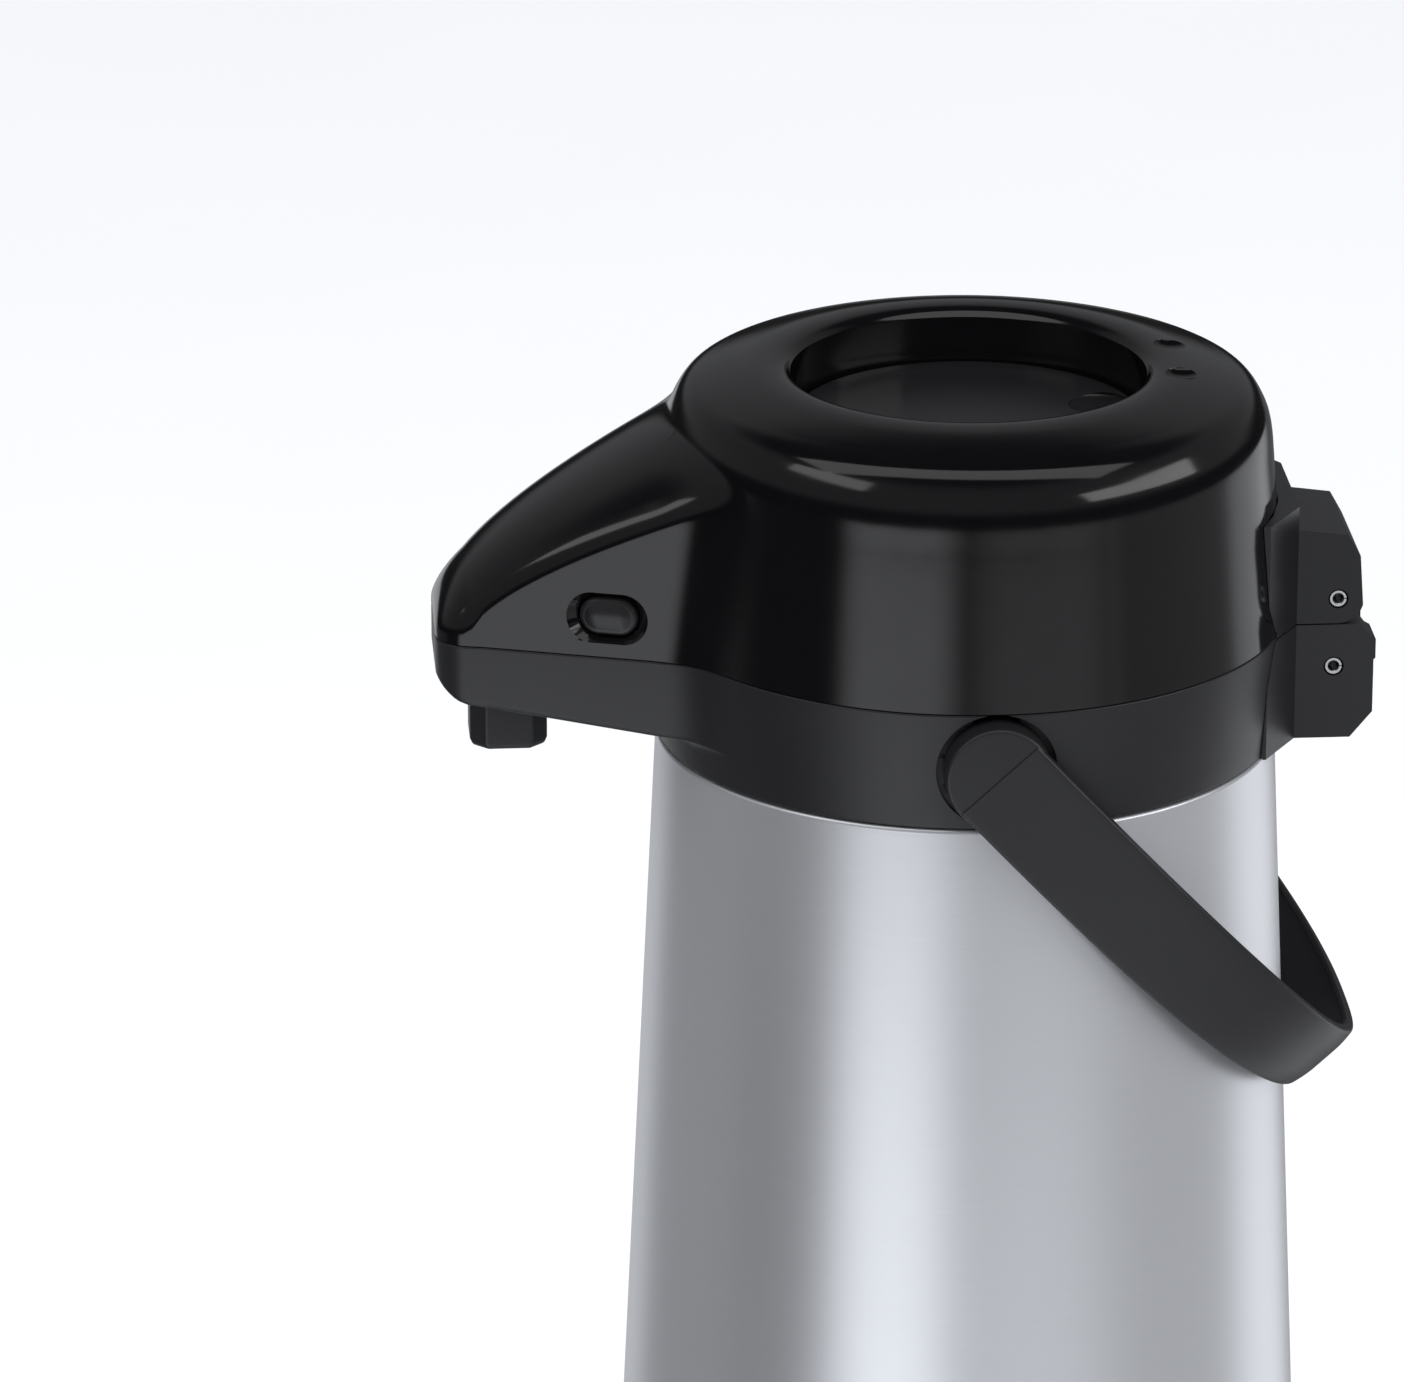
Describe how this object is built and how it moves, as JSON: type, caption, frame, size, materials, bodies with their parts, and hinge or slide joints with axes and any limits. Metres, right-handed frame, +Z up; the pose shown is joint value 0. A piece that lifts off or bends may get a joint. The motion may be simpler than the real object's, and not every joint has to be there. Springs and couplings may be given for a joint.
{
  "type": "thermal coffee airpot",
  "caption": "Pump airpot: vacuum flask in a tapered steel shell, hinged pump lid with push button, pouring spout with side latches, swinging carrying bail.",
  "frame": {"origin": "centre of the underside, on the pot's own axis, where the rubber pad rests", "axes": "+Z up along the pot's axis, spout towards -Y, lid hinge towards +Y, bail pivots on the X axis"},
  "size_m": [0.165, 0.2125, 0.3685],
  "materials": {
    "lid_gloss": "glossy moulded black",
    "satin_black": "satin moulded black",
    "matt_black": "fine textured black",
    "brushed_body": "satin brushed, grain round the body",
    "flask_steel": "drawn steel",
    "bright_wire": "bright plated",
    "rubber": "soft black rubber",
    "food_plastic": "off-white moulded"
  },
  "bodies": {
    "pot": {"non_slip_pad": "rubber", "bottom_cap": "satin_black", "base_ring": "satin_black", "liner_cushion": "rubber", "outer_shell": "brushed_body", "liner_outer_wall": "flask_steel", "liner_inner_wall": "flask_steel", "liner_gasket": "rubber", "collar": "matt_black", "spout_tube": "food_plastic", "tube_head": "food_plastic", "siphon_tube": "food_plastic", "spout_nozzle": "matt_black", "lower_hinge_block": "matt_black", "hinge_link": "satin_black", "lower_hinge_pin": "bright_wire", "lever_spring": "bright_wire"},
    "ball": {"valve_ball": "flask_steel"},
    "lid": {"lid_cover": "lid_gloss", "lid_base": "satin_black", "lid_gasket": "rubber", "lid_screw_1": "bright_wire", "lid_screw_2": "bright_wire", "lid_screw_3": "bright_wire", "lid_screw_4": "bright_wire", "upper_hinge_block": "satin_black", "upper_hinge_pin": "bright_wire", "bellows": "rubber", "pump_spring": "bright_wire", "latch_spring_right": "bright_wire", "latch_spring_left": "bright_wire"},
    "plunger": {"plunger": "food_plastic", "intake_valve": "rubber"},
    "button": {"push_button": "satin_black"},
    "latch_right": {"latch_right": "satin_black"},
    "latch_left": {"latch_left": "satin_black"},
    "lever": {"release_lever": "satin_black"},
    "bail": {"bail_handle": "matt_black"}
  },
  "joints": [
    {"name": "lid_hinge", "type": "hinge", "parent": "pot", "child": "lid", "pos_m": [0, 0.0822, 0.316], "axis": [-1, 0, 0], "range_deg": [0, 90]},
    {"name": "pump_press", "type": "slide", "parent": "lid", "child": "plunger", "axis": [0, 0, 1], "range_m": [0, 0.02], "stiffness_N_per_m": 400, "springref_m": 0.024, "deforming": ["bellows", "pump_spring"]},
    {"name": "button_turn", "type": "hinge", "parent": "plunger", "child": "button", "pos_m": [0, 0, 0.35], "axis": [0, 0, -1], "range_deg": [0, 26]},
    {"name": "latch_press_right", "type": "slide", "parent": "lid", "child": "latch_right", "axis": [-0.953, 0.303, 0], "range_m": [0, 0.003], "stiffness_N_per_m": 900, "springref_m": -0.001, "deforming": ["latch_spring_right"]},
    {"name": "latch_press_left", "type": "slide", "parent": "lid", "child": "latch_left", "axis": [0.953, 0.303, 0], "range_m": [0, 0.003], "stiffness_N_per_m": 900, "springref_m": -0.001, "deforming": ["latch_spring_left"]},
    {"name": "lever_press", "type": "hinge", "parent": "pot", "child": "lever", "pos_m": [0, 0.0815, 0.3], "axis": [-1, 0, 0], "range_deg": [0, 10], "stiffness_Nm_per_rad": 0.3, "springref_deg": -2.86, "deforming": ["lever_spring"]},
    {"name": "bail_swing", "type": "hinge", "parent": "pot", "child": "bail", "pos_m": [0, 0, 0.2975], "axis": [1, 0, 0], "range_deg": [0, 209]},
    {"name": "valve_lift", "type": "slide", "parent": "pot", "child": "ball", "axis": [0, 0, 1], "range_m": [0, 0.002]}
  ]
}
